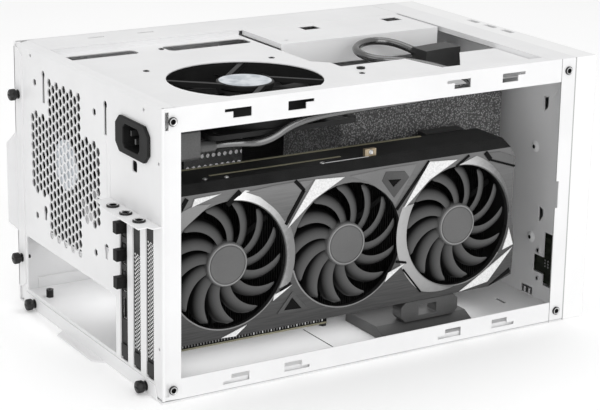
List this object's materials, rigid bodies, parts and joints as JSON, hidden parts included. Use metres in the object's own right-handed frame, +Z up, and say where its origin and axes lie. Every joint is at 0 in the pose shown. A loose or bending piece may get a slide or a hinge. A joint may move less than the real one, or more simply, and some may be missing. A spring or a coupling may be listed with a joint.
{
  "type": "desktop computer case",
  "caption": "Small boxy white steel computer case with one side and the top cover off, showing a board space, a long fan-cooled graphics card, an upright power supply and fans.",
  "frame": {"origin": "middle of the flat base between the rear panel face and the front face", "axes": "+X towards the front bezel, +Y away from the open side, +Z up"},
  "size_m": [0.388, 0.2486, 0.21],
  "materials": {
    "white_steel": "fine textured white powder coat",
    "white_plastic": "satin moulded",
    "black_steel": "black coat",
    "black_plastic": "satin black",
    "lead_rubber": "matt",
    "mesh_cloth": "fine mesh",
    "bare_steel": "plated",
    "circuit_board": "solder mask",
    "cooler_aluminium": "bare fins",
    "grey_plastic": "satin grey",
    "dark_plate": "brushed dark",
    "silver_trim": "brushed"
  },
  "bodies": {
    "case": {"board_standoffs": "black_steel", "bottom_panel": "white_steel", "button_switch": "black_plastic", "card_backplate": "dark_plate", "card_board": "circuit_board", "card_bracket": "black_steel", "card_fan_mounts": "black_plastic", "card_heatsink": "cooler_aluminium", "card_ports": "bare_steel", "card_power_socket": "black_plastic", "card_shroud": "grey_plastic", "card_support_base": "black_plastic", "card_support_clip": "black_plastic", "card_trim": "silver_trim", "corner_screws": "black_steel", "drive_cage": "white_steel", "dust_filter": "mesh_cloth", "far_bottom_rail": "white_steel", "far_side_panel": "white_steel", "far_top_rail": "white_steel", "floor_pan": "white_steel", "front_bezel": "white_plastic", "front_io_board": "circuit_board", "front_plate": "white_steel", "front_ports": "bare_steel", "inlet_moulding": "black_plastic", "inlet_pins": "bare_steel", "lead_plug": "black_plastic", "near_bottom_rail": "white_steel", "near_top_rail": "white_steel", "plate_screw": "black_steel", "port_caps": "black_plastic", "power_inlet": "black_plastic", "power_lead": "lead_rubber", "psu_bracket": "white_steel", "psu_case": "black_steel", "psu_socket": "black_plastic", "rear_fan_frame": "black_plastic", "rear_panel": "white_steel", "slot_screws": "black_steel", "slot_shelf": "white_steel", "thumb_screws": "black_steel", "top_fan_frame": "black_plastic", "top_plate": "white_steel"},
    "rear_fan": {"rear_fan_rotor": "black_plastic"},
    "top_fan": {"top_fan_rotor": "black_plastic"},
    "card_fan_1": {"card_fan_1": "black_plastic"},
    "card_fan_2": {"card_fan_2": "black_plastic"},
    "card_fan_3": {"card_fan_3": "black_plastic"},
    "power_button": {"power_button": "white_plastic"},
    "psu_switch": {"psu_switch": "black_plastic"}
  },
  "joints": [
    {"name": "rear_fan_spin", "type": "hinge", "parent": "case", "child": "rear_fan", "pos_m": [-0.174, 0.0347, 0.1323], "axis": [1, 0, 0], "continuous": true},
    {"name": "top_fan_spin", "type": "hinge", "parent": "case", "child": "top_fan", "pos_m": [-0.0835, -0.0543, 0.19], "axis": [0, 0, 1], "continuous": true},
    {"name": "card_fan_1_spin", "type": "hinge", "parent": "case", "child": "card_fan_1", "pos_m": [-0.1277, -0.104, 0.0876], "axis": [0, 1, 0], "continuous": true},
    {"name": "card_fan_2_spin", "type": "hinge", "parent": "case", "child": "card_fan_2", "pos_m": [-0.029, -0.104, 0.0876], "axis": [0, 1, 0], "continuous": true},
    {"name": "card_fan_3_spin", "type": "hinge", "parent": "case", "child": "card_fan_3", "pos_m": [0.0697, -0.104, 0.0876], "axis": [0, 1, 0], "continuous": true},
    {"name": "power_button_press", "type": "slide", "parent": "case", "child": "power_button", "axis": [-1, 0, 0], "range_m": [0, 0.0012], "stiffness_N_per_m": 900},
    {"name": "psu_switch_rock", "type": "hinge", "parent": "case", "child": "psu_switch", "pos_m": [0.108, 0.005, 0.1778], "axis": [0, -1, 0], "range_deg": [0, 9.7]}
  ]
}
